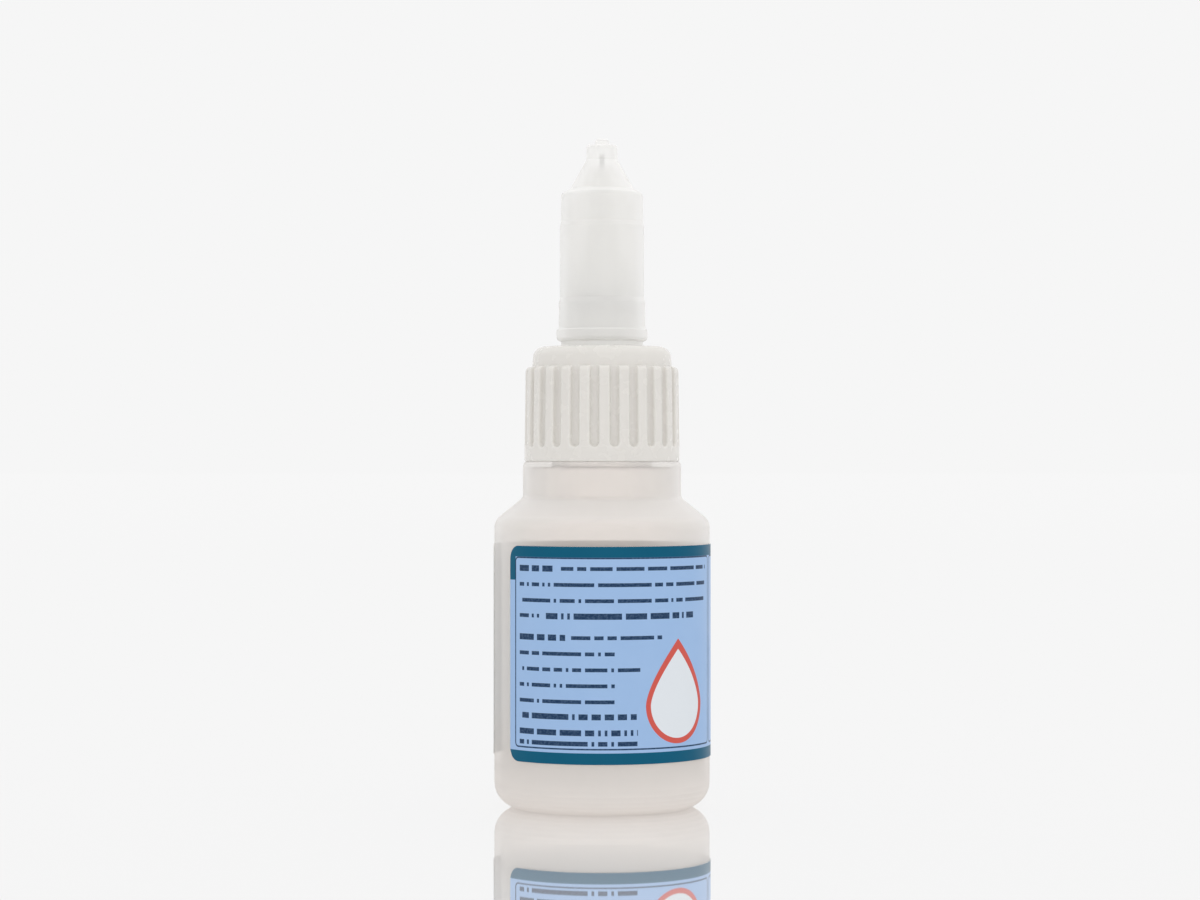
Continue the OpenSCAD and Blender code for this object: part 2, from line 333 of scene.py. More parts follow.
GLUE_LIQUID = PatternFinish(
    "instant_glue", (0.97, 0.955, 0.91), (0.95, 0.93, 0.86), (0.03, 0.07), size=9 * MM,
    depth=0.01 * MM, span=(0.2, 0.8), ior=1.45, cover=(0.03, 0.12), through=(0.998, 0.985, 0.97))
DRAWN_STEEL = PatternFinish(
    "drawn_pin_steel", (0.62, 0.62, 0.63), (0.5, 0.5, 0.52), (0.2, 0.36), size=0.06 * MM,
    depth=0.003 * MM, stretch=(1, 1, 0.03), metallic=1.0)
LABEL_BACKING = PatternFinish(
    "label_backing", (0.96, 0.955, 0.94), (0.93, 0.925, 0.91), (0.4, 0.55), size=2.5 * MM,
    depth=0.005 * MM, detail=4)


class Ink:
    """A number that varies over the label, with the sums that shapes are drawn by."""

    def __init__(self, bench: ShaderBench, value: Socket) -> None:
        """Hold a value on its bench."""
        self.bench = bench
        self.value = value

    def sum(self, operation: str, *others: "Ink | float") -> "Ink":
        """Join this value with other values or numbers in one sum."""
        values = [o.value if isinstance(o, Ink) else o for o in others]
        return Ink(self.bench, self.bench.math(operation, self.value, *values))

    def __add__(self, other: "Ink | float") -> "Ink":
        """Add a value."""
        return self.sum("ADD", other)

    def __sub__(self, other: "Ink | float") -> "Ink":
        """Take a value away."""
        return self.sum("SUBTRACT", other)

    def __mul__(self, other: "Ink | float") -> "Ink":
        """Multiply by a value, which for two masks gives what both cover."""
        return self.sum("MULTIPLY", other)

    def __or__(self, other: "Ink") -> "Ink":
        """Join two masks."""
        return self.sum("MAXIMUM", other)

    def away(self, middle: float) -> "Ink":
        """Return the distance from a middle value."""
        return (self - middle).sum("ABSOLUTE")

    def above(self, edge: float, blur: float) -> "Ink":
        """Mask what lies above an edge, over which the ink fades by the blur."""
        return Ink(self.bench, self.bench.ramp(self.value, edge - blur / 2, edge + blur / 2))

    def below(self, edge: float, blur: float) -> "Ink":
        """Mask what lies below an edge, over which the ink fades by the blur."""
        return Ink(self.bench, self.bench.ramp(self.value, edge + blur / 2, edge - blur / 2))


@dataclass(frozen=True)
class DashBlock:
    """A block of word-length dashes that stands for small print."""

    left: float
    right: float
    top: float
    rows: int
    weight: float
    ragged: float
    pitch: float = 2.08 * MM
    cell: float = 0.86 * MM
    gap: float = 0.5 * MM
    breaks: float = 0.3
    break_blur: float = 0.001
    row_blur: float = 0.01


@dataclass(frozen=True)
class DropMark:
    """A plain drop with an outline."""

    middle: float
    centre: float
    radius: float
    tip: float
    line: float
    tip_grow: float = 1.9
    taper: float = 1.55


@dataclass(frozen=True)
class LabelPrint(Finish):
    """Satin film with bands, hairlines, dashes and plain drops in print."""

    width: float
    height: float
    name: str = "printed_label_film"
    field_tint: Colour = display(162, 192, 230)
    field_deep: Colour = display(155, 186, 226)
    band_tint: Colour = display(10, 93, 122)
    band_deep: Colour = display(6, 86, 116)
    line_tint: Colour = display(12, 46, 80)
    drop_tint: Colour = display(226, 231, 236)
    ring_tint: Colour = display(209, 92, 82)
    cloud: float = 5 * MM
    speck: float = 0.35 * MM
    speck_depth: float = 0.002 * MM
    speck_span: Span = (0.2, 0.6)
    density: Span = (0.82, 0.97)
    roughness: Span = (0.3, 0.38)
    gloss: float = 0.08
    coat: float = 0.05
    coat_roughness: float = 0.22
    blur: float = 0.05 * MM
    top_band: float = 1.42 * MM
    low_band: float = 1.5 * MM
    low_strip: float = 0.4 * MM
    hairline: float = 0.2 * MM
    left_line: float = 1.25 * MM
    frame_corner_r: float = 0.55 * MM
    panel_line: float = 33.1 * MM
    panel_gap: float = 0.7 * MM
    end_line: float = 83.2 * MM
    corner_patch: float = 4.5 * MM
    blocks: tuple[DashBlock, ...] = tuple(
        DashBlock(left * MM, right * MM, top * MM, rows, weight * MM, ragged * MM)
        for left, right, top, rows, weight, ragged in (
            (2.1, 7.6, 25.5, 1, 0.8, 0.0),
            (8.8, 31.9, 25.5, 1, 0.5, 0.0),
            (2.1, 31.9, 23.4, 2, 0.5, 0.5),
            (2.1, 5.8, 19.3, 1, 0.5, 0.0),
            (6.6, 28.4, 19.3, 1, 0.8, 0.0),
            (2.1, 9.4, 16.5, 1, 0.8, 0.0),
            (10.2, 22.6, 16.5, 1, 0.5, 0.0),
            (2.1, 19.4, 14.4, 4, 0.5, 4),
            (2.1, 19.3, 6.2, 2, 0.76, 1.2),
            (2.1, 19.0, 2.7, 1, 0.6, 0.0),
            (37.0, 50.0, 19.8, 4, 0.8, 3),
            (64.0, 80.5, 22.6, 7, 0.5, 3),
        ))
    drops: tuple[DropMark, ...] = (
        DropMark(25.3 * MM, 7.6 * MM, 4.4 * MM, 7.3 * MM, 0.72 * MM),
        DropMark(57.0 * MM, 11.6 * MM, 4.6 * MM, 9.0 * MM, 0.8 * MM),
    )

    def dashes(self, across: Ink, up: Ink, block: DashBlock) -> Ink:
        """Draw one block of dashes.

        Args:
            across: Distance from the label's left end.
            up: Height above the label's lower edge.
            block: The block to draw.

        Returns:
            The block's mask.
        """
        bench, seed = across.bench, block.top / MM
        drop = (up * -1 + block.top + block.pitch / 2) * (1 / block.pitch)
        row = drop.sum("FLOOR")
        run = (across - block.left) * (1 / block.cell)
        spot = bench.out("ShaderNodeCombineXYZ", {
            "X": run.sum("FLOOR").value, "Y": row.value, "Z": seed})
        chance = bench.out("ShaderNodeTexWhiteNoise", {"Vector": spot}, "Value")
        split = Ink(bench, chance).below(block.breaks, block.break_blur)
        word = (run.sum("FRACT") * block.cell - split * block.gap).above(0.0, self.blur)
        line = bench.out("ShaderNodeTexWhiteNoise", {"W": (row + seed).value}, "Value",
                         noise_dimensions="1D")
        short = Ink(bench, line) * block.ragged
        rows = drop.above(0.0, block.row_blur) * drop.below(float(block.rows), block.row_blur)
        stroke = drop.sum("FRACT").away(0.5) * block.pitch
        ends = across.above(block.left, self.blur)
        ends = ends * (across + short).below(block.right, self.blur)
        return stroke.below(block.weight / 2, self.blur) * (word | (split * -1 + 1.0)) * ends * rows

    def panel(self, across: Ink, up: Ink, left: float, right: float) -> Ink:
        """Draw a panel's hairline frame between the bands.

        Args:
            across: Distance from the label's left end.
            up: Height above the label's lower edge.
            left: Distance of the frame's left side.
            right: Distance of its right side.

        Returns:
            The frame's mask.
        """
        low = self.low_band + self.low_strip + self.hairline / 2
        top = self.height - self.top_band - self.hairline / 2
        round_r = self.frame_corner_r
        aside = across.away((left + right) / 2) - ((right - left) / 2 - round_r)
        above = up.away((low + top) / 2) - ((top - low) / 2 - round_r)
        far, tall = aside.sum("MAXIMUM", 0.0), above.sum("MAXIMUM", 0.0)
        edge = (far * far + tall * tall).sum("SQRT") + (aside | above).sum("MINIMUM", 0.0)
        return edge.away(round_r).below(self.hairline / 2, self.blur)

    def drop(self, across: Ink, up: Ink, mark: DropMark, grow: float) -> Ink:
        """Draw a filled drop.

        Args:
            across: Distance from the label's left end.
            up: Height above the label's lower edge.
            mark: The drop to draw.
            grow: Amount by which it is larger than its inner shape.

        Returns:
            The drop's mask.
        """
        radius = mark.radius + grow
        rise = up - mark.centre
        climb = rise.sum("MAXIMUM", 0.0) * (1 / (mark.tip + grow * mark.tip_grow))
        bowl = rise.sum("MINIMUM", 0.0)
        half = (bowl * bowl * -1 + radius * radius).sum("MAXIMUM", 0.0).sum("SQRT")
        half = half - climb.sum("POWER", mark.taper) * radius
        side = (across.away(mark.middle) - half).below(0.0, self.blur)
        return side * up.above(mark.centre - radius, self.blur)

    def paint(self, bench: ShaderBench) -> None:
        """Print the field, bands, lines, dashes and drops, then lay a satin film.

        Args:
            bench: Bench of the finish's own tree.
        """
        place = bench.sheet_place(self.width, self.height)
        parts = bench.add("ShaderNodeSeparateXYZ", {"Vector": place}).outputs
        across, up = Ink(bench, parts["X"]), Ink(bench, parts["Y"])
        cloud = bench.noise(place, self.cloud, 3)
        speck = bench.noise(place, self.speck)
        colour = bench.mix(cloud, self.field_tint, self.field_deep)

        bands = up.above(self.height - self.top_band, self.blur)
        bands = bands | up.below(self.low_band, self.blur)
        patch = up.above(self.height - self.corner_patch, self.blur)
        bands = bands | (patch * across.below(self.left_line, self.blur))
        colour = bench.mix(bands.value, colour, bench.mix(cloud, self.band_tint, self.band_deep))

        lines = self.panel(across, up, self.left_line, self.panel_line)
        lines = lines | self.panel(across, up, self.panel_line + self.panel_gap, self.end_line)
        for block in self.blocks:
            lines = lines | self.dashes(across, up, block)
        density = Ink(bench, bench.ramp(speck, *self.speck_span, *self.density))
        colour = bench.mix((lines * density).value, colour, self.line_tint)

        for mark in self.drops:
            for grow, tint in ((mark.line, self.ring_tint), (0.0, self.drop_tint)):
                colour = bench.mix(self.drop(across, up, mark, grow).value, colour, tint)
        bench.surface({
            "Base Color": colour,
            "Roughness": bench.ramp(cloud, *NOISE_SPAN, *self.roughness),
            "IOR": PLASTIC_IOR,
            "Specular IOR Level": self.gloss,
            "Coat Weight": self.coat,
            "Coat Roughness": self.coat_roughness,
            "Normal": bench.bump(speck, self.speck_depth),
        })


def keep(mesh: Mesh, name: str, *finishes: Finish) -> Piece:
    """Put a mesh into the scene as a smooth-shaded piece with sharp corners.

    Args:
        mesh: The mesh, in its place.
        name: Name of the piece.
        *finishes: Its finishes, unless the mesh carries one.

    Returns:
        The piece.
    """
    piece = bpy.data.objects.new(name, mesh)
    bpy.context.scene.collection.objects.link(piece)
    mesh.name = name
    mesh.shade_smooth()
    mesh.set_sharp_from_angle(angle=SHARP_ANGLE)
    for finish in finishes:
        mesh.materials.append(finish.material())
    return piece


def to_mesh(shape: Shape, name: str, closed: bool = True) -> Mesh:
    """Make a shape a mesh, and use the shape up.

    Args:
        shape: The shape.
        name: Name of the mesh.
        closed: Whether its doubles merge and its faces turn outwards.

    Returns:
        The mesh.
    """
    if closed:
        bmesh.ops.remove_doubles(shape, verts=shape.verts, dist=MERGE_DISTANCE)
        bmesh.ops.recalc_face_normals(shape, faces=shape.faces)
    mesh = bpy.data.meshes.new(name)
    shape.to_mesh(mesh)
    shape.free()
    return mesh


def mount(piece: Piece, body: Body, slot: Slot, *nodes: str) -> Piece:
    """Let a piece ride on its body and stand for CAD nodes.

    Args:
        piece: The piece, in its place.
        body: Body that it moves with.
        slot: Slot that its finish belongs to; not used.
        *nodes: CAD nodes that it stands for.

    Returns:
        The piece.
    """
    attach(piece, body.value)
    if nodes:
        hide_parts(*nodes)
    return piece


def dome(radius: float, low: float, top: float) -> list[Corner]:
    """Draw a shallow dome from the axis out to a radius.

    Args:
        radius: Radius at its edge.
        low: Height of its edge.
        top: Height at the axis.

    Returns:
        Sharp corners from the axis outwards.
    """
    rise = top - low
    ball = (radius ** 2 + rise ** 2) / (2 * rise)
    half = math.asin(radius / ball)
    turns = [half * step / DOME_STEPS for step in range(DOME_STEPS + 1)]
    return [(ball * math.sin(t), top - ball + ball * math.cos(t), 0.0) for t in turns]


@dataclass(frozen=True)
class Turning:
    """A turned piece, from a closed outline of corners in radius, height and rounding."""

    corners: tuple[Corner, ...]
    shared_room: float = 0.49
    whole_room: float = 0.98
    held_length: float = 5 * HOLD

    def room(self, spot: Vector, beside: Corner) -> float:
        """Return how much of the edge to the corner beside it a rounded corner may use."""
        share = self.shared_room if beside[2] else self.whole_room
        return (Vector(beside[:2]) - spot).length * share

    def rounded(self, place: int) -> list[Point]:
        """Round one corner as far as its edges leave room.

        Args:
            place: The corner's place in the outline.

        Returns:
            The points that stand for it.
        """
        count = len(self.corners)
        before, here, after = (self.corners[(place + step) % count] for step in (-1, 0, 1))
        spot = Vector(here[:2])
        if here[2] == 0:
            return [tuple(spot)]
        back, ahead = Vector(before[:2]) - spot, Vector(after[:2]) - spot
        half = back.angle(ahead) / 2
        reach = min(here[2] / math.tan(half), self.room(spot, before), self.room(spot, after))
        radius = reach * math.tan(half)
        back.normalize()
        ahead.normalize()
        centre = spot + (back + ahead).normalized() * (radius / math.sin(half))
        first, last = spot + back * reach - centre, spot + ahead * reach - centre
        start = math.atan2(first.y, first.x)
        sweep = math.remainder(math.atan2(last.y, last.x) - start, FULL_TURN)
        turns = [start + sweep * step / ARC_STEPS for step in range(ARC_STEPS + 1)]
        return [(centre.x + radius * math.cos(t), centre.y + radius * math.sin(t)) for t in turns]

    def outline(self) -> list[Point]:
        """Draw the outline, with holding points at both ends of long straight edges.

        Returns:
            The outline's points.
        """
        plain = [point for place in range(len(self.corners)) for point in self.rounded(place)]
        held: list[Point] = []
        for start, end in zip(plain, plain[1:] + plain[:1]):
            held.append(start)
            edge = Vector(end) - Vector(start)
            if edge.length > self.held_length and max(start[0], end[0]) > AXIS_R:
                step = edge.normalized() * HOLD
                held += [tuple(Vector(start) + step), tuple(Vector(end) - step)]
        return held

    def piece(self, name: str, *finishes: Finish) -> Piece:
        """Turn the outline about the axis.

        Args:
            name: Name of the piece.
            *finishes: Its finishes, of which the first one is all over it.

        Returns:
            The piece.
        """
        shape = bmesh.new()
        turns = [FULL_TURN * step / TURN_SEGMENTS for step in range(TURN_SEGMENTS)]
        rings: list[list[Vert]] = []
        for radius, height in self.outline():
            spots = [polar(radius, turn, height) for turn in turns]
            if radius < AXIS_R:
                spots = [(0.0, 0.0, height)]
            rings.append([shape.verts.new(spot) for spot in spots])
        for low, high in zip(rings, rings[1:] + rings[:1]):
            join_rings(shape, low, high)
        return keep(to_mesh(shape, name), name, *finishes)


def join_rings(shape: Shape, low: list[Vert], high: list[Vert]) -> None:
    """Span two rings of points with faces, where a ring of one point is a pole.

    Args:
        shape: Shape that takes the faces.
        low: First ring.
        high: Second ring.
    """
    count = max(len(low), len(high))
    if count == 1:
        return
    for here in range(count):
        there = (here + 1) % count
        if len(low) == 1:
            shape.faces.new((low[0], high[there], high[here]))
        elif len(high) == 1:
            shape.faces.new((low[here], low[there], high[0]))
        else:
            shape.faces.new((low[here], low[there], high[there], high[here]))


def join_lines(shape: Shape, left: list[Vert], right: list[Vert], finish: int = 0) -> None:
    """Span two lines of points with faces.

    Args:
        shape: Shape that takes the faces.
        left: First line.
        right: Second line.
        finish: Place of the faces' finish on the piece.
    """
    for low in range(len(left) - 1):
        face = shape.faces.new((left[low], right[low], right[low + 1], left[low + 1]))
        face.material_index = finish


class Recipe(NodeBench):
    """A Geometry Nodes tree with named inputs, which ends in realized geometry of one finish."""

    def __init__(self, name: str, inputs: dict[str, str]) -> None:
        """Start a tree.

        Args:
            name: Name of the tree.
            inputs: The kind of each named input.
        """
        super().__init__(bpy.data.node_groups.new(name, "GeometryNodeTree"))
        sockets = self.tree.interface
        sockets.new_socket("Stock", in_out="INPUT", socket_type="NodeSocketGeometry")
        self.keys: dict[str, str] = {}
        for label, kind in {**inputs, "Finish": "Material"}.items():
            socket = sockets.new_socket(label, in_out="INPUT", socket_type=f"NodeSocket{kind}")
            self.keys[label] = socket.identifier
        sockets.new_socket("Piece", in_out="OUTPUT", socket_type="NodeSocketGeometry")
        self.given = self.add("NodeGroupInput").outputs

    def turn(self, angle: Socket) -> Socket:
        """Return a rotation about the axis."""
        euler = self.out("ShaderNodeCombineXYZ", {"Z": angle})
        return self.out("FunctionNodeEulerToRotation", {"Euler": euler})

    def end(self, geometry: Socket) -> None:
        """Realize the geometry, give it the finish and put it out.

        Args:
            geometry: What the tree has built.
        """
        real = self.out("GeometryNodeRealizeInstances", {"Geometry": geometry})
        dressed = self.out("GeometryNodeSetMaterial", {
            "Geometry": real, "Material": self.given["Finish"]})
        self.add("NodeGroupOutput", {"Piece": dressed})

    def make(self, name: str, stock: Mesh, sizes: dict[str, float | int], finish: Finish) -> Piece:
        """Run the tree on a piece of stock and keep the result as a plain mesh.

        Args:
            name: Name of the piece.
            stock: Mesh that the tree starts from.
            sizes: Values of the named inputs.
            finish: Finish of the piece.

        Returns:
            The piece.
        """
        blank = bpy.data.objects.new(f"{name}_blank", stock)
        bpy.context.scene.collection.objects.link(blank)
        modifier = blank.modifiers.new(self.tree.name, "NODES")
        modifier.node_group = self.tree
        for label, value in {**sizes, "Finish": finish.material()}.items():
            modifier[self.keys[label]] = value
        graph = bpy.context.evaluated_depsgraph_get()
        mesh = bpy.data.meshes.new_from_object(blank.evaluated_get(graph))
        blank.modifiers.remove(modifier)
        bpy.data.objects.remove(blank)
        bpy.data.meshes.remove(stock)
        shape = bmesh.new()
        shape.from_mesh(mesh)
        finishes = list(mesh.materials)
        bpy.data.meshes.remove(mesh)
        plain = to_mesh(shape, name)
        for material in finishes:
            plain.materials.append(material)
        return keep(plain, name)


class RadialPattern(Recipe):
    """Repeats one sector of a ring all the way round and welds the seams."""

    def __init__(self) -> None:
        """Build the tree."""
        super().__init__("radial_pattern", {"Count": "Int", "Start turn": "Float", "Weld": "Float"})
        given = self.given
        index = self.out("GeometryNodeInputIndex")
        step = self.math("DIVIDE", FULL_TURN, given["Count"])
        angle = self.math("MULTIPLY_ADD", index, step, given["Start turn"])
        copies = self.out("GeometryNodeInstanceOnPoints", {
            "Points": self.out("GeometryNodePoints", {"Count": given["Count"]}),
            "Instance": given["Stock"],
            "Rotation": self.turn(angle),
        })
        real = self.out("GeometryNodeRealizeInstances", {"Geometry": copies})
        self.end(self.out("GeometryNodeMergeByDistance", {
            "Geometry": real, "Distance": given["Weld"]}))


class HelixThread(Recipe):
    """Sweeps a ridge with sloping flanks and rounded edges along a right-hand helix."""

    END_SCALE = 0.04
    EDGE_STEPS = 3

    def __init__(self) -> None:
        """Build the tree."""
        super().__init__("helix_thread", dict.fromkeys((
            "Turns", "Pitch", "Root radius", "Depth", "Root width", "Crest width", "Edge radius",
            "Low end", "Start turn", "Side turn", "Run out"), "Float"))
        given = self.given
        helix = self.out("GeometryNodeCurveSpiral", {
            "Resolution": HELIX_STEPS,
            "Rotations": given["Turns"],
            "Start Radius": given["Root radius"],
            "End Radius": given["Root radius"],
            "Height": self.math("MULTIPLY", given["Turns"], given["Pitch"]),
        })
        level = self.out("GeometryNodeSetCurveNormal", {"Curve": helix}, mode="Z_UP")
        ridge = self.out("GeometryNodeCurvePrimitiveQuadrilateral", {
            "Height": given["Depth"],
            "Bottom Width": given["Root width"],
            "Top Width": given["Crest width"],
            "Offset": 0.0,
        }, mode="TRAPEZOID")
        lift = self.out("ShaderNodeCombineXYZ", {"Y": self.math("DIVIDE", given["Depth"], 2.0)})
        seated = self.out("GeometryNodeTransform", {"Geometry": ridge, "Translation": lift})
        faced = self.out("GeometryNodeTransform", {
            "Geometry": seated, "Rotation": self.turn(given["Side turn"])})
        soft = self.out("GeometryNodeFilletCurve", {
            "Curve": faced, "Radius": given["Edge radius"], "Count": self.EDGE_STEPS,
            "Limit Radius": True,
        }, mode="POLY")
        run = self.out("GeometryNodeSplineParameter", output="Factor")
        taper = self.out("ShaderNodeMapRange", {
            "Value": self.math("MINIMUM", run, self.math("SUBTRACT", 1.0, run)),
            "From Min": 0.0,
            "From Max": given["Run out"],
            "To Min": self.END_SCALE,
            "To Max": 1.0,
        }, "Result", interpolation_type="SMOOTHSTEP")
        swept = self.out("GeometryNodeCurveToMesh", {
            "Curve": level, "Profile Curve": soft, "Scale": taper, "Fill Caps": True})
        self.end(self.out("GeometryNodeTransform", {
            "Geometry": swept,
            "Translation": self.out("ShaderNodeCombineXYZ", {"Z": given["Low end"]}),
            "Rotation": self.turn(given["Start turn"]),
        }))


@dataclass(frozen=True)
class Thread:
    """Sizes of one screw thread."""

    wall_r: float
    crest_r: float
    pitch: float
    low_z: float
    turns: float
    start_turn: float
    root_w: float
    crest_w: float
    edge_r: float = 0.12 * MM
    sunk: float = 0.06 * MM
    run_out: float = 0.09

    def piece(self, name: str, recipe: HelixThread, finish: Finish) -> Piece:
        """Cut the thread.

        Args:
            name: Name of the piece.
            recipe: The tree that sweeps it.
            finish: Its finish.

        Returns:
            The piece.
        """
        side = ThreadSide.OUTSIDE if self.crest_r > self.wall_r else ThreadSide.INSIDE
        return recipe.make(name, bpy.data.meshes.new(name), {
            "Turns": self.turns,
            "Pitch": self.pitch,
            "Root radius": self.wall_r + side.value * self.sunk,
            "Depth": abs(self.crest_r - self.wall_r) + self.sunk,
            "Root width": self.root_w,
            "Crest width": self.crest_w,
            "Edge radius": self.edge_r,
            "Low end": self.low_z,
            "Start turn": self.start_turn,
            "Side turn": -side.value * math.pi / 2,
            "Run out": self.run_out,
        }, finish)


@dataclass
class Workshop:
    """The trees that several pieces share."""

    threads: HelixThread = field(default_factory=HelixThread)
    patterns: RadialPattern = field(default_factory=RadialPattern)


@dataclass
class Assembly(ABC):
    """A group of pieces that is built together, with the trees to build with."""

    shop: Workshop

    @abstractmethod
    def build(self) -> list[Piece]:
        """Build, dress and mount the pieces, and return them."""


@dataclass
class Bottle(Assembly):
    """Blown bottle with a hollow foot, a sloping shoulder, a plain neck and a threaded finish."""

    body_r: float = 14.5 * MM
    body_h: float = 38.5 * MM
    wall: float = 0.9 * MM
    base_corner_r: float = 3.4 * MM
    foot_r: float = 9.5 * MM
    pushup_h: float = 0.9 * MM
    shoulder_r: float = 2.0 * MM
    shoulder_drop: float = 0.431 * MM
    neck_r: float = 10.65 * MM
    neck_z: float = 41.6 * MM
    neck_fillet_r: float = 1.0 * MM
    neck_edge_r: float = 0.8 * MM
    ledge_z: float = 46.6 * MM
    finish_r: float = 7.9 * MM
    mouth_r: float = 6.7 * MM
    rim_z: float = 59.6 * MM
    soft_r: float = 0.25 * MM
    thread: Thread = Thread(
        wall_r=7.9 * MM, crest_r=8.43 * MM, pitch=3.0 * MM, low_z=49.4 * MM, turns=2.25,
        start_turn=FRONT, root_w=1.5 * MM, crest_w=0.8 * MM)
    plastic: Finish = MilkyPlastic(
        "milky_bottle_plastic", (0.96, 0.95, 0.935), (0.95, 0.94, 0.925), (0.42, 0.52),
        scatter=0.2, cover=(0.25, 0.6), foot_cover=0.95, through=(1, 0.972, 0.95),
        parting_depth=0.03 * MM)
    lining: Finish = MilkyPlastic(
        "milky_bottle_lining", (0.99, 0.982, 0.97), (0.985, 0.977, 0.965), (0.3, 0.4),
        scatter=0.1, cover=(0.2, 0.5), through=(1, 0.98, 0.965))

    def outside(self) -> list[Corner]:
        """Draw the bottle's outer side.

        Returns:
            Corners from the underside up to the rim.
        """
        return [
            *dome(self.foot_r, 0.0, self.pushup_h),
            (self.body_r, 0.0, self.base_corner_r),
            (self.body_r, self.body_h, self.shoulder_r),
            (self.neck_r, self.neck_z, self.neck_fillet_r),
            (self.neck_r, self.ledge_z, self.neck_edge_r),
            (self.finish_r, self.ledge_z, self.soft_r),
            (self.finish_r, self.rim_z, self.soft_r),
        ]

    def inside(self) -> list[Corner]:
        """Draw the bottle's inner side.

        Returns:
            Corners from the rim down to the floor.
        """
        inner_r, inner_neck_r = self.body_r - self.wall, self.neck_r - self.wall
        under_ledge = self.ledge_z - self.wall
        return [
            (self.mouth_r, self.rim_z, self.soft_r),
            (self.mouth_r, under_ledge, self.soft_r),
            (inner_neck_r, under_ledge, self.neck_edge_r),
            (inner_neck_r, self.neck_z - self.shoulder_drop, self.neck_fillet_r),
            (inner_r, self.body_h - self.shoulder_drop, self.shoulder_r),
            (inner_r, self.wall, self.base_corner_r - self.wall),
            *reversed(dome(self.foot_r, self.wall, self.wall + self.pushup_h)),
        ]

    def build(self) -> list[Piece]:
        """Build the shell, with its lining on the inner faces, and the thread of its finish.

        Returns:
            The pieces.
        """
        turning = Turning((*self.outside(), *self.inside()))
        shell = turning.piece("bottle_shell", self.plastic, self.lining)
        heart = Vector((0, 0, self.body_h / 2))
        for face in shell.data.polygons:
            face.material_index = int(face.normal.dot(face.center - heart) < 0)
        thread = self.thread.piece("bottle_thread", self.shop.threads, self.plastic)
        return [
            mount(shell, Body.BOTTLE, Slot.BOTTLE, "bottle"),
            mount(thread, Body.BOTTLE, Slot.BOTTLE),
        ]


@dataclass
class Fill(Assembly):
    """Glue inside the bottle, with a level that climbs a little at the wall."""

    side_r: float = 13.57 * MM
    low_z: float = 0.93 * MM
    corner_r: float = 2.5 * MM
    foot_r: float = 9.5 * MM
    pushup_h: float = 0.9 * MM
    level_z: float = 32.4 * MM
    climb: float = 0.6 * MM
    climb_w: float = 1.6 * MM
    liquid: Finish = GLUE_LIQUID

    def build(self) -> list[Piece]:
        """Build the body of glue.

        Returns:
            The piece.
        """
        steps = [step / ARC_STEPS for step in range(ARC_STEPS + 1)]
        level = [(self.side_r - self.climb_w * s, self.level_z + self.climb * (1 - s) ** 2, 0.0)
                 for s in steps]
        fill = Turning((
            *dome(self.foot_r, self.low_z, self.low_z + self.pushup_h),
            (self.side_r, self.low_z, self.corner_r),
            *level,
            (0.0, self.level_z, 0.0),
        )).piece("glue_fill", self.liquid)
        return [mount(fill, Body.BOTTLE, Slot.GLUE, "glue")]


@dataclass
class Label(Assembly):
    """Printed film that wraps the body and leaves a gap at its left."""

    inner_r: float = 14.53 * MM
    outer_r: float = 14.63 * MM
    low_z: float = 7.0 * MM
    height: float = 28.4 * MM
    corner_r: float = 1.8 * MM
    start_turn: float = math.radians(-146)
    sweep: float = math.radians(330)
    rows: int = 12
    corner_columns: int = 10
    side_columns: int = 150
    backing: Finish = LABEL_BACKING

    def length(self) -> float:
        """Return the film's length along its printed side."""
        return self.outer_r * self.sweep

    def columns(self) -> list[Point]:
        """Lay out the film's columns.

        Returns:
            Each column's distance from the left end, and the corner's inset there.
        """
        length = self.length()
        ends = [self.corner_r * (1 - math.cos(math.pi / 2 * step / self.corner_columns))
                for step in range(self.corner_columns)]
        straight = length - 2 * self.corner_r
        side = [self.corner_r + straight * step / self.side_columns
                for step in range(self.side_columns + 1)]
        spots = [*ends, *side, *(length - end for end in reversed(ends))]
        depth = [min(spot, length - spot, self.corner_r) for spot in spots]
        bow = [self.corner_r - math.sqrt(max(0.0, self.corner_r ** 2 - (self.corner_r - d) ** 2))
               for d in depth]
        return list(zip(spots, bow))

    def build(self) -> list[Piece]:
        """Build the film with its print outside and its backing inside.

        Returns:
            The piece.
        """
        length = self.length()
        shape = bmesh.new()
        outer: list[list[Vert]] = []
        inner: list[list[Vert]] = []
        flat: dict[Vert, Point] = {}
        for radius, sheet in ((self.outer_r, outer), (self.inner_r, inner)):
            for spot, inset in self.columns():
                turn = self.start_turn + spot / self.outer_r
                tall = self.height - 2 * inset
                rise = [inset + tall * row / self.rows for row in range(self.rows + 1)]
                sheet.append([shape.verts.new(polar(radius, turn, self.low_z + up)) for up in rise])
                flat.update({vert: (spot / length, up / self.height)
                             for vert, up in zip(sheet[-1], rise)})
        for finish, sheet in enumerate((outer, inner)):
            for left, right in zip(sheet, sheet[1:]):
                join_lines(shape, left, right, finish)
        join_lines(shape, inner[0], outer[0], 1)
        join_lines(shape, outer[-1], inner[-1], 1)
        for row in (0, self.rows):
            join_lines(shape, [c[row] for c in outer], [c[row] for c in inner], 1)
        uv = shape.loops.layers.uv.new("label_print")
        for face in shape.faces:
            for loop in face.loops:
                loop[uv].uv = flat[loop.vert]
        film = keep(to_mesh(shape, "label_sheet"), "label_sheet",
                    LabelPrint(length, self.height), self.backing)
        return [mount(film, Body.BOTTLE, Slot.LABEL, "label")]


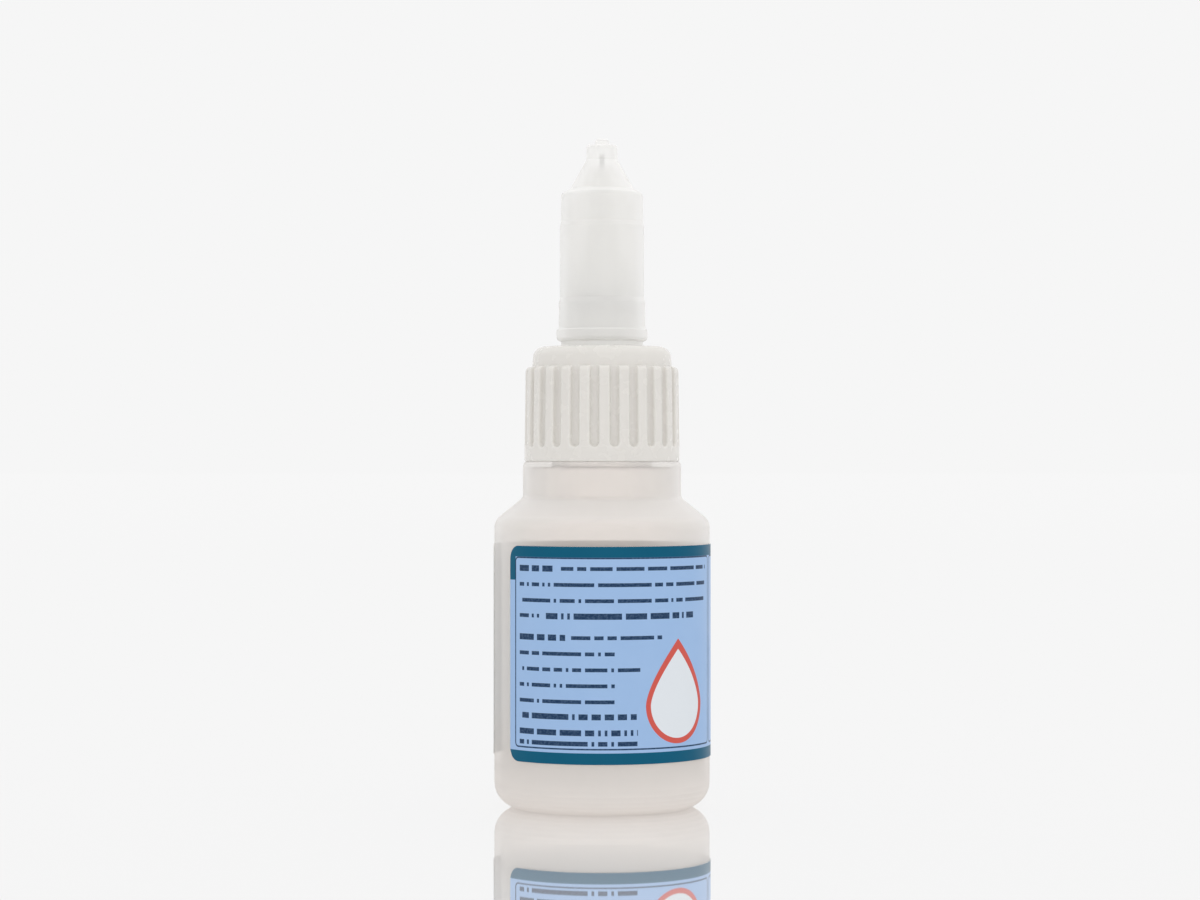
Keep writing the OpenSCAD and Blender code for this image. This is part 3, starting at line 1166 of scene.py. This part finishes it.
@dataclass
class Nozzle(Assembly):
    """Nozzle with a plug, a flange, a boss, a threaded stem and a slim tip."""

    plug_r: float = 6.65 * MM
    plug_in_r: float = 5.6 * MM
    plug_z: float = 55.65 * MM
    plug_chamfer: float = 0.35 * MM
    plug_round: float = 0.3 * MM
    plug_in_round: float = 0.2 * MM
    flange_r: float = 8.55 * MM
    flange_z: float = 59.65 * MM
    flange_top_z: float = 60.65 * MM
    boss_r: float = 5.5 * MM
    boss_z: float = 62.6 * MM
    boss_round: float = 0.06 * MM
    stem_r: float = 4.3 * MM
    stem_in_r: float = 2.85 * MM
    stem_z: float = 70.8 * MM
    stem_wall: float = 1.45 * MM
    stem_round: float = 0.5 * MM
    tip_root_r: float = 2.3 * MM
    tip_root_z: float = 74.7 * MM
    tip_end_r: float = 1.15 * MM
    tip_z: float = 85.7 * MM
    channel_root_r: float = 0.95 * MM
    channel_end_r: float = 0.5 * MM
    edge_round: float = 0.1 * MM
    bore_round: float = 0.4 * MM
    soft_r: float = 0.25 * MM
    thread: Thread = Thread(
        wall_r=4.3 * MM, crest_r=4.73 * MM, pitch=2.7 * MM, low_z=63.85 * MM, turns=2.1,
        start_turn=STEM_START, root_w=1.1 * MM, crest_w=0.55 * MM)
    plastic: Finish = MilkyPlastic(
        "milky_nozzle_plastic", (0.935, 0.93, 0.91), (0.925, 0.92, 0.9), (0.32, 0.42),
        scatter=0.2, cover=(0.95, 1.0), through=(0.99, 1, 0.985))

    def build(self) -> list[Piece]:
        """Build the nozzle and the thread of its stem.

        Returns:
            The pieces.
        """
        body = Turning((
            (self.plug_r - self.plug_chamfer, self.plug_z, self.edge_round),
            (self.plug_r, self.plug_z + 2 * self.plug_chamfer, self.plug_round),
            (self.plug_r, self.flange_z, 0.0),
            (self.flange_r, self.flange_z, self.soft_r),
            (self.flange_r, self.flange_top_z, self.soft_r),
            (self.boss_r, self.flange_top_z, 0.0),
            (self.boss_r, self.boss_z, self.boss_round),
            (self.stem_r, self.boss_z, self.soft_r),
            (self.stem_r, self.stem_z, self.stem_round),
            (self.tip_root_r, self.tip_root_z, self.tip_root_r),
            (self.tip_end_r, self.tip_z, self.soft_r),
            (self.channel_end_r, self.tip_z, self.edge_round),
            (self.channel_root_r, self.tip_root_z, 0.0),
            (self.stem_in_r, self.stem_z - self.stem_wall, self.bore_round),
            (self.stem_in_r, self.boss_z, self.bore_round),
            (self.plug_in_r, self.flange_z, self.bore_round),
            (self.plug_in_r, self.plug_z, self.plug_in_round),
        )).piece("nozzle_body", self.plastic)
        thread = self.thread.piece("nozzle_thread", self.shop.threads, self.plastic)
        return [
            mount(body, Body.NOZZLE, Slot.NOZZLE, "nozzle"),
            mount(thread, Body.NOZZLE, Slot.NOZZLE),
        ]


@dataclass
class Collar(Assembly):
    """Screw ring with fluted sides, a plain band, a crown and a deck that holds the nozzle."""

    bore_r: float = 8.6 * MM
    low_z: float = 46.61 * MM
    low_r: float = 10.45 * MM
    low_drop: float = 0.01 * MM
    low_round: float = 0.08 * MM
    lip: tuple[Point, ...] = ((9.9 * MM, 0.0), (10.12 * MM, 0.035 * MM), (10.3 * MM, 0.13 * MM))
    top_r: float = 10.28 * MM
    rib_top_z: float = 59.2 * MM
    rib_round: float = 0.7 * MM
    rib_rows: int = 7
    rib_row_share: float = 0.12
    crown_low_r: float = 9.4 * MM
    crown_top_r: float = 9.23 * MM
    crown_round: float = 1.5 * MM
    deck_z: float = 61.9 * MM
    deck_low_z: float = 60.7 * MM
    deck_round: float = 0.3 * MM
    hole_r: float = 5.56 * MM
    hole_round: float = 0.12 * MM
    soft_r: float = 0.25 * MM
    flute_count: int = 24
    flute_start: float = math.radians(-5.7)
    flute_half_w: float = 0.655 * MM
    flute_floor_half_w: float = 0.56 * MM
    flute_depth: float = 0.82 * MM
    flute_edge_r: float = 0.3 * MM
    flute_floor_r: float = 0.5 * MM
    flute_low_z: float = 49.11 * MM
    weld: float = 0.0006 * MM
    thread: Thread = Thread(
        wall_r=8.6 * MM, crest_r=8.05 * MM, pitch=3.0 * MM, low_z=47.9 * MM, turns=2.25,
        start_turn=FRONT, root_w=1.3 * MM, crest_w=0.7 * MM)
    plastic: Finish = MilkyPlastic(
        "white_collar_plastic", display(230, 227, 222), display(225, 222, 217), (0.22, 0.3),
        scatter=0.4, scatter_depth=0.5 * MM, gloss=0.45, grain=2 * MM)

    def flute_section(self) -> list[Point]:
        """Draw half a flute's section.

        Returns:
            Points by distance from its middle and depth, from a rib inwards.
        """
        pitch = FULL_TURN * self.low_r / self.flute_count
        shown = (
            (pitch / 2, 0.0, 0.0),
            (self.flute_half_w, 0.0, self.flute_edge_r),
            (self.flute_floor_half_w, self.flute_depth, self.flute_floor_r),
            (0.0, self.flute_depth, 0.0),
        )
        section = Turning((*shown, (0.0, -pitch, 0.0), (pitch / 2, -pitch, 0.0)))
        return [point for place in range(len(shown)) for point in section.rounded(place)]

    def depth_at(self, away: float, section: list[Point]) -> float:
        """Read the flute's depth.

        Args:
            away: Distance from the flute's middle line.
            section: Half section of the flute.

        Returns:
            The depth there.
        """
        for (far, shallow), (near, deep) in zip(section, section[1:]):
            if near <= away <= far:
                share = 0.0 if far == near else (far - away) / (far - near)
                return shallow + (deep - shallow) * share
        return 0.0

    def side_rows(self, section: list[Point]) -> list[Point]:
        """Lay out the rows of the fluted side.

        Args:
            section: Half section of a flute, which its round lower end follows.

        Returns:
            Each row's radius and height, from the band up.
        """
        heights = [self.flute_low_z - away for away, _ in section]
        heights += [
            self.flute_low_z + step * self.rib_row_share * (self.rib_top_z - self.flute_low_z)
            for step in range(1, self.rib_rows + 1)]
        slope = (self.top_r - self.low_r) / (self.rib_top_z - self.low_z)
        return [(self.low_r + slope * (z - self.low_z), z) for z in heights]

    def profile(self) -> tuple[list[Point], list[Point], list[Point]]:
        """Draw the ring's section at a rib.

        Returns:
            Its points under the fluted side, on the rib's top, and from the crown to the bore.
        """
        turning = Turning((
            (self.bore_r, self.low_z, self.soft_r),
            *((radius, self.low_z - drop, 0.0) for radius, drop in self.lip),
            (self.low_r, self.low_z - self.low_drop, self.low_round),
            (self.top_r, self.rib_top_z, self.rib_round),
            (self.crown_low_r, self.rib_top_z, 0.0),
            (self.crown_top_r, self.deck_z, self.crown_round),
            (self.hole_r, self.deck_z, self.hole_round),
            (self.hole_r, self.deck_low_z, 0.0),
            (self.bore_r, self.deck_low_z, self.deck_round),
        ))
        side, crown, end = len(self.lip) + 2, len(self.lip) + 4, len(turning.corners)
        foot, rim, rest = ([point for place in places for point in turning.rounded(place)]
                           for places in (range(side), range(side, crown), range(crown, end)))
        return foot, rim, rest

    def sector(self) -> Mesh:
        """Model one sector of the ring, from the middle of a rib to the middle of the next.

        Returns:
            The open mesh of the sector.
        """
        section = self.flute_section()
        offsets = [-away for away, _ in section] + [away for away, _ in reversed(section[:-1])]
        foot, rim, rest = self.profile()
        shape = bmesh.new()
        columns: list[list[Vert]] = []
        for offset in offsets:
            depth = self.depth_at(abs(offset), section)
            rows = list(foot)
            for radius, height in self.side_rows(section):
                away = math.hypot(offset, max(0.0, self.flute_low_z - height))
                rows.append((radius - self.depth_at(away, section), height))
            squeeze = (self.top_r - depth - self.crown_low_r) / (self.top_r - self.crown_low_r)
            rows += [(self.crown_low_r + (radius - self.crown_low_r) * squeeze, height)
                     for radius, height in rim]
            rows += rest
            columns.append([shape.verts.new(polar(radius, offset / self.low_r, height))
                            for radius, height in rows])
        for left, right in zip(columns, columns[1:]):
            join_lines(shape, left + left[:1], right + right[:1])
        return to_mesh(shape, "collar_sector", closed=False)

    def build(self) -> list[Piece]:
        """Build the ring from its sector, and the thread in its bore.

        Returns:
            The pieces.
        """
        ring = self.shop.patterns.make("collar_ring", self.sector(), {
            "Count": self.flute_count,
            "Start turn": self.flute_start,
            "Weld": self.weld,
        }, self.plastic)
        thread = self.thread.piece("collar_thread", self.shop.threads, self.plastic)
        return [
            mount(ring, Body.COLLAR, Slot.COLLAR, "collar"),
            mount(thread, Body.COLLAR, Slot.COLLAR),
        ]


@dataclass
class Cap(Assembly):
    """Long stepped cap with a bead at its mouth, a cone, a tip and a nub, and its clearing pin."""

    low_z: float = 62.61 * MM
    bore_r: float = 4.85 * MM
    bore_z: float = 71.2 * MM
    bead_r: float = 6.14 * MM
    bead_h: float = 1.6 * MM
    bead_round: float = 0.32 * MM
    bead_low_r: float = 0.6 * MM
    skirt_r: float = 5.82 * MM
    skirt_z: float = 67.85 * MM
    barrel_r: float = 5.67 * MM
    upper_z: float = 78.12 * MM
    upper_r: float = 5.52 * MM
    shoulder_z: float = 82.52 * MM
    cone_z: float = 83.12 * MM
    cone_r: float = 4.32 * MM
    tip_low_z: float = 87.07 * MM
    tip_r: float = 2.1 * MM
    tip_z: float = 89.07 * MM
    tip_round: float = 0.4 * MM
    nub_r: float = 0.95 * MM
    nub_z: float = 89.87 * MM
    wall: float = 0.97 * MM
    step: float = 0.15 * MM
    step_h: float = 0.6 * MM
    ledge_round: float = 0.6 * MM
    socket_r: float = 1.55 * MM
    socket_z: float = 86.1 * MM
    inner_round: float = 0.2 * MM
    inner_ledge_round: float = 0.3 * MM
    soft_r: float = 0.25 * MM
    hole_r: float = 0.37 * MM
    hole_z: float = 87.8 * MM
    pin_r: float = 0.35 * MM
    pin_low_z: float = 80.7 * MM
    pin_top_z: float = 87.75 * MM
    pin_point_r: float = 0.12 * MM
    pin_point_z: float = 0.03 * MM
    pin_point_h: float = 0.5 * MM
    pin_point_round: float = 0.2 * MM
    pin_top_round: float = 0.08 * MM
    thread: Thread = Thread(
        wall_r=4.85 * MM, crest_r=4.42 * MM, pitch=2.7 * MM, low_z=65.2 * MM, turns=1.6,
        start_turn=STEM_START, root_w=1.1 * MM, crest_w=0.55 * MM)
    plastic: Finish = MilkyPlastic(
        "milky_cap_plastic", (0.995, 0.99, 0.98), (0.99, 0.985, 0.975), (0.3, 0.4),
        scatter=0.15, cover=(0.43, 0.62), through=(1, 0.995, 0.985))
    steel: Finish = DRAWN_STEEL

    def outside(self) -> list[Corner]:
        """Draw the cap's outer side.

        Returns:
            Corners from the mouth up to the nub.
        """
        bead_z = self.low_z + self.bead_h
        return [
            (self.bore_r, self.low_z, self.soft_r),
            (self.bead_r, self.low_z, self.bead_low_r),
            (self.bead_r, bead_z, self.bead_round),
            (self.skirt_r, bead_z, self.bead_round),
            (self.skirt_r, self.skirt_z, self.step_h),
            (self.barrel_r, self.skirt_z + self.step_h, self.step_h),
            (self.barrel_r, self.upper_z, self.step_h),
            (self.upper_r, self.upper_z + self.step_h, self.step_h),
            (self.upper_r, self.shoulder_z, self.ledge_round),
            (self.cone_r, self.cone_z, self.step),
            (self.tip_r, self.tip_low_z, self.step),
            (self.tip_r, self.tip_z, self.tip_round),
            (self.nub_r, self.tip_z, self.step),
            (self.nub_r, self.nub_z, self.nub_r),
            (0.0, self.nub_z, 0.0),
        ]

    def inside(self) -> list[Corner]:
        """Draw the cap's inner side.

        Returns:
            Corners from the pin's hole down to the mouth.
        """
        inner_shoulder_z = self.shoulder_z - self.wall
        inner_cone_z = inner_shoulder_z + self.cone_z - self.shoulder_z
        return [
            (0.0, self.hole_z, 0.0),
            (self.hole_r, self.hole_z, 0.0),
            (self.hole_r, self.socket_z, 0.0),
            (self.socket_r, self.socket_z, self.inner_round),
            (self.cone_r - self.wall, inner_cone_z, self.inner_round),
            (self.upper_r - self.wall, inner_shoulder_z, self.inner_ledge_round),
            (self.upper_r - self.wall, self.upper_z, 0.0),
            (self.barrel_r - self.wall, self.upper_z - self.step, 0.0),
            (self.barrel_r - self.wall, self.bore_z + self.step, 0.0),
            (self.bore_r, self.bore_z, 0.0),
        ]

    def build(self) -> list[Piece]:
        """Build the cap, the thread in its bore and the clearing pin.

        Returns:
            The pieces.
        """
        shell = Turning((*self.outside(), *self.inside())).piece("cap_shell", self.plastic)
        thread = self.thread.piece("cap_thread", self.shop.threads, self.plastic)
        pin = Turning((
            (0.0, self.pin_low_z, 0.0),
            (self.pin_point_r, self.pin_low_z + self.pin_point_z, 0.0),
            (self.pin_r, self.pin_low_z + self.pin_point_h, self.pin_point_round),
            (self.pin_r, self.pin_top_z, self.pin_top_round),
            (0.0, self.pin_top_z, 0.0),
        )).piece("pin_wire", self.steel)
        return [
            mount(shell, Body.CAP, Slot.CAP, "cap"),
            mount(thread, Body.CAP, Slot.CAP),
            mount(pin, Body.CAP, Slot.PIN, "clearing_pin"),
        ]


@dataclass(frozen=True)
class GlossFloor(Finish):
    """White table, lit faintly from below, with a polished top that mirrors more at a low angle."""

    name: str = "polished_white_table"
    tint: Colour = (0.41, 0.41, 0.41)
    deep_tint: Colour = (0.4, 0.4, 0.4)
    cloud: float = 60 * MM
    glow: float = 0.463
    polish: float = 0.02
    mirror_gain: float = 1.6

    def paint(self, bench: ShaderBench) -> None:
        """Place a plain white top that glows a little, under a clear polish.

        Args:
            bench: Bench of the finish's own tree.
        """
        cloud = bench.noise(bench.place(), self.cloud, 1)
        tint = bench.mix(cloud, self.tint, self.deep_tint)
        matt = bench.out("ShaderNodeBsdfDiffuse", {"Color": tint})
        polish = bench.out("ShaderNodeBsdfGlossy", {"Color": WHITE, "Roughness": self.polish})
        share = bench.math("MULTIPLY", bench.out("ShaderNodeFresnel", {"IOR": PLASTIC_IOR}),
                           self.mirror_gain)
        glow = bench.out("ShaderNodeEmission", {"Color": WHITE, "Strength": self.glow})
        matt = bench.out("ShaderNodeAddShader", {0: matt, 1: glow})
        both = bench.out("ShaderNodeMixShader", {0: share, 1: matt, 2: polish})
        bench.add("ShaderNodeOutputMaterial", {"Surface": both})


@dataclass
class Studio:
    """Pale table, soft light from all round that is weaker at the sides, and the camera."""

    camera_spot: Corner = (-0.00027, -0.425, 0.048)
    lens: float = 94.62
    sensor: float = 36.0
    sight: Span = (0.01, 100)
    table_half: float = 6.0
    table_cells: int = 8
    table_z: float = -0.02 * MM
    backdrop: Colour = display(246, 246, 246)
    middle_level: float = 1.27
    side_level: float = 0.79
    back_start: float = -0.2
    back_gain: float = 1.1
    right_gain: float = 0.06
    table: Finish = GlossFloor()

    def build(self) -> None:
        """Set the view transform and build the table, the light and the camera."""
        scene = bpy.context.scene
        scene.view_settings.view_transform = "Standard"
        self.lay_table()
        self.light()
        lens = bpy.data.cameras.new("studio_camera")
        lens.lens, lens.sensor_width = self.lens, self.sensor
        lens.clip_start, lens.clip_end = self.sight
        camera = bpy.data.objects.new("studio_camera", lens)
        camera.location = self.camera_spot
        camera.rotation_euler = (math.pi / 2, 0, 0)
        scene.collection.objects.link(camera)
        scene.camera = camera

    def lay_table(self) -> None:
        """Lay the table under the bottle."""
        shape = bmesh.new()
        cells = self.table_cells
        bmesh.ops.create_grid(shape, x_segments=cells, y_segments=cells, size=self.table_half)
        bmesh.ops.translate(shape, verts=shape.verts, vec=(0, 0, self.table_z))
        keep(to_mesh(shape, "studio_table", closed=False), "studio_table", self.table)

    def light(self) -> None:
        """Light the scene from a pale surround, which eye and gloss see as a plain backdrop."""
        world = bpy.data.worlds.new("studio_surround")
        world.use_nodes = True
        bpy.context.scene.world = world
        bench = ShaderBench(world.node_tree)
        ray = bench.add("ShaderNodeLightPath").outputs
        seen = bench.math("MAXIMUM", ray["Is Camera Ray"], ray["Is Glossy Ray"])
        seen = bench.math("MAXIMUM", seen, ray["Is Transmission Ray"])
        way = bench.out("ShaderNodeTexCoord", output="Generated")
        parts = bench.add("ShaderNodeSeparateXYZ", {"Vector": way}).outputs
        aside = bench.math("ABSOLUTE", parts["X"])
        level = bench.ramp(aside, 0.0, 1.0, self.middle_level, self.side_level)
        behind = bench.ramp(parts["Y"], self.back_start, 1.0, 1.0, self.back_gain)
        level = bench.math("MULTIPLY", level, behind)
        lean = bench.ramp(parts["X"], -1.0, 1.0, 1 - self.right_gain, 1 + self.right_gain)
        level = bench.math("MULTIPLY", level, lean)
        lamp = bench.out("ShaderNodeBackground", {"Color": WHITE, "Strength": level})
        plain = bench.out("ShaderNodeBackground", {"Color": (*self.backdrop, 1), "Strength": 1.0})
        both = bench.out("ShaderNodeMixShader", {0: seen, 1: lamp, 2: plain})
        bench.add("ShaderNodeOutputWorld", {"Surface": both})


def main() -> None:
    """Build the studio and then the object, one assembly after the other."""
    logging.basicConfig(level=logging.INFO, format="%(name)s: %(message)s")
    Studio().build()
    shop = Workshop()
    for kind in (Bottle, Fill, Label, Nozzle, Collar, Cap):
        for piece in kind(shop).build():
            log.info("%s: %s with %d faces", kind.__name__, piece.name, len(piece.data.polygons))


if __name__ == "__main__":
    main()
